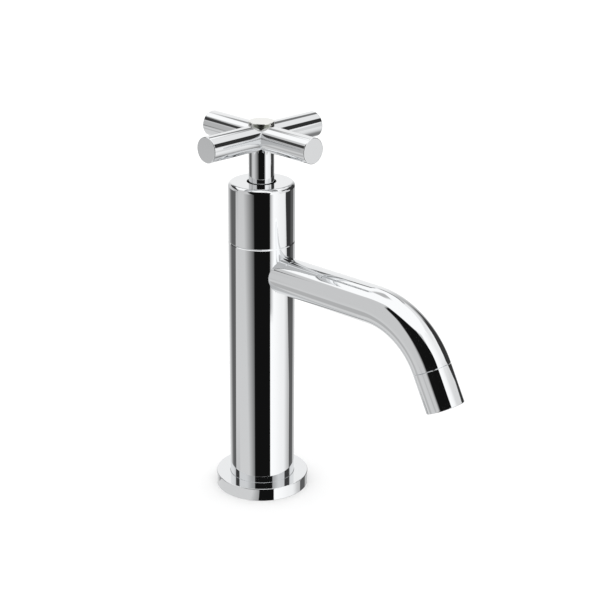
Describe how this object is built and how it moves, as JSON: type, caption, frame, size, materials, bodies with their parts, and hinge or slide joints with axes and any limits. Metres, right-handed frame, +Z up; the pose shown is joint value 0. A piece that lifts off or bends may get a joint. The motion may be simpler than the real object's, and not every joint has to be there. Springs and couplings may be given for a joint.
{
  "type": "pillar tap",
  "caption": "Deck-mounted pillar tap: round column on a flange, cross handle on a quarter-turn headwork, bent tube spout with an outlet collar, threaded tail below.",
  "frame": {"origin": "centre of the base flange's underside, on the deck and on the column's axis", "axes": "+Z up along the column's axis, -Y along the spout, +X to the left of someone who stands behind the tap and looks along the spout"},
  "size_m": [0.0694, 0.1568, 0.237],
  "materials": {
    "chrome": "polished chrome plate",
    "cap_chrome": "chrome plate with a very slight warm tint",
    "brass": "machined brass",
    "stainless_steel": "turned stainless steel",
    "rubber": "matte black rubber",
    "ceramic": "lapped ceramic",
    "nylon": "moulded natural nylon"
  },
  "bodies": {
    "tap_body": {"base_flange": "chrome", "base_gasket": "rubber", "body": "chrome", "bonnet": "chrome", "bonnet_o_ring": "rubber", "headwork_body": "brass", "headwork_gasket": "rubber", "seat_seal": "rubber", "fixed_disc": "ceramic", "friction_washer": "nylon", "spout_tube": "chrome", "spout_nipple": "brass", "nipple_washer": "nylon", "spout_o_ring": "rubber", "spout_grub_screw": "stainless_steel", "aerator_housing": "chrome", "aerator_washer": "rubber", "aerator_strainer": "stainless_steel", "aerator_insert": "nylon", "inlet_tail": "brass", "tail_o_ring": "rubber", "rubber_washer": "rubber", "clamp_washer": "stainless_steel", "back_nut": "brass"},
    "handle": {"cross_handle": "chrome", "index_cap": "cap_chrome", "cap_o_ring": "rubber", "handle_screw": "stainless_steel", "spindle": "brass", "spindle_o_rings": "rubber", "spindle_circlip": "stainless_steel", "moving_disc": "ceramic"}
  },
  "joints": [
    {"name": "handle_turn", "type": "hinge", "parent": "tap_body", "child": "handle", "pos_m": [0, 0, 0.13], "axis": [0, 0, 1], "range_deg": [0, 90]}
  ]
}
